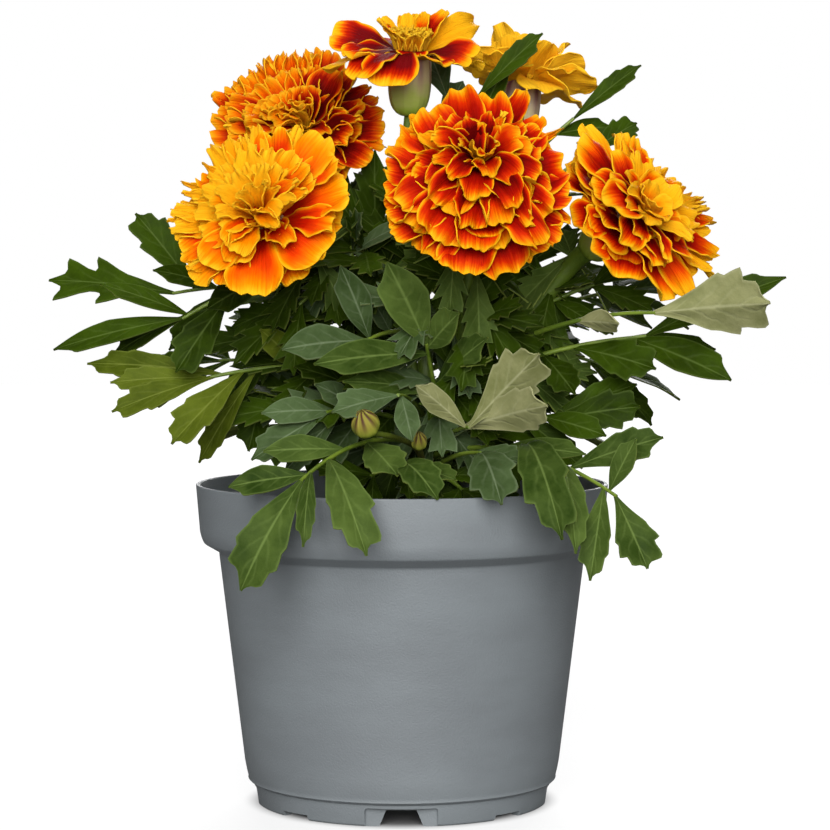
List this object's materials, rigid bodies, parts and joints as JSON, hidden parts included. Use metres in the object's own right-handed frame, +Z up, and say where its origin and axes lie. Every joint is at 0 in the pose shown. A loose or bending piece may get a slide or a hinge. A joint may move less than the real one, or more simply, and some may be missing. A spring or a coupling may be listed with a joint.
{
  "type": "potted french marigold",
  "caption": "Bushy double-flowered marigold with red and gold ruffled flowers and divided leaves, growing in a round grey nursery pot.",
  "frame": {"origin": "centre of the pot's foot ring, on the surface that the pot stands on", "axes": "+Z up along the pot's axis, -Y the front, +X the right"},
  "size_m": [0.217, 0.148, 0.2293],
  "materials": {
    "pot_plastic": "satin, faint horizontal grain",
    "compost": "loose, fibrous and matt",
    "stem": "smooth, faintly ribbed, flushed red low down",
    "calyx": "ribbed, waxy",
    "leaf": "satin above, matt and paler below",
    "floret": "velvety orange-red with gold edges",
    "disc_floret": "golden, velvety"
  },
  "bodies": {
    "root": {"nursery_pot": "pot_plastic", "potting_compost": "compost", "main_stem": "stem", "left_front_flower_stalk": "stem", "left_back_flower_stalk": "stem", "front_flower_stalk": "stem", "right_flower_stalk": "stem", "right_back_flower_stalk": "stem", "left_front_calyx": "calyx", "left_front_outer_florets": "floret", "left_front_inner_florets": "floret", "left_back_calyx": "calyx", "left_back_outer_florets": "floret", "left_back_inner_florets": "floret", "top_calyx": "calyx", "top_outer_florets": "floret", "top_disc_florets": "disc_floret", "front_calyx": "calyx", "front_outer_florets": "floret", "front_inner_florets": "floret", "right_calyx": "calyx", "right_outer_florets": "floret", "right_inner_florets": "floret", "right_back_calyx": "calyx", "right_back_outer_florets": "floret", "right_back_inner_florets": "floret", "left_bud_stalk": "stem", "left_bud": "calyx", "right_bud_stalk": "stem", "right_bud": "calyx", "left_high_leaf": "leaf", "left_mid_leaf": "leaf", "left_low_leaf": "leaf", "left_inner_leaf": "leaf", "left_front_low_leaf": "leaf", "rim_left_leaf": "leaf", "centre_up_leaf": "leaf", "centre_left_leaf": "leaf", "centre_low_leaf": "leaf", "centre_right_leaf": "leaf", "low_front_leaf": "leaf", "low_right_leaf": "leaf", "hanging_right_leaf": "leaf", "right_low_leaf": "leaf", "right_high_leaf": "leaf", "right_mid_leaf": "leaf", "top_right_leaf": "leaf", "top_tall_leaf": "leaf", "top_mid_leaf": "leaf", "right_upper_leaf": "leaf", "back_left_leaf": "leaf", "back_right_leaf": "leaf", "back_low_leaf": "leaf", "back_low_right_leaf": "leaf", "back_low_left_leaf": "leaf", "back_high_leaf": "leaf", "back_upper_leaf": "leaf", "right_side_leaf": "leaf", "back_side_leaf": "leaf", "left_side_leaf": "leaf"}
  },
  "joints": []
}
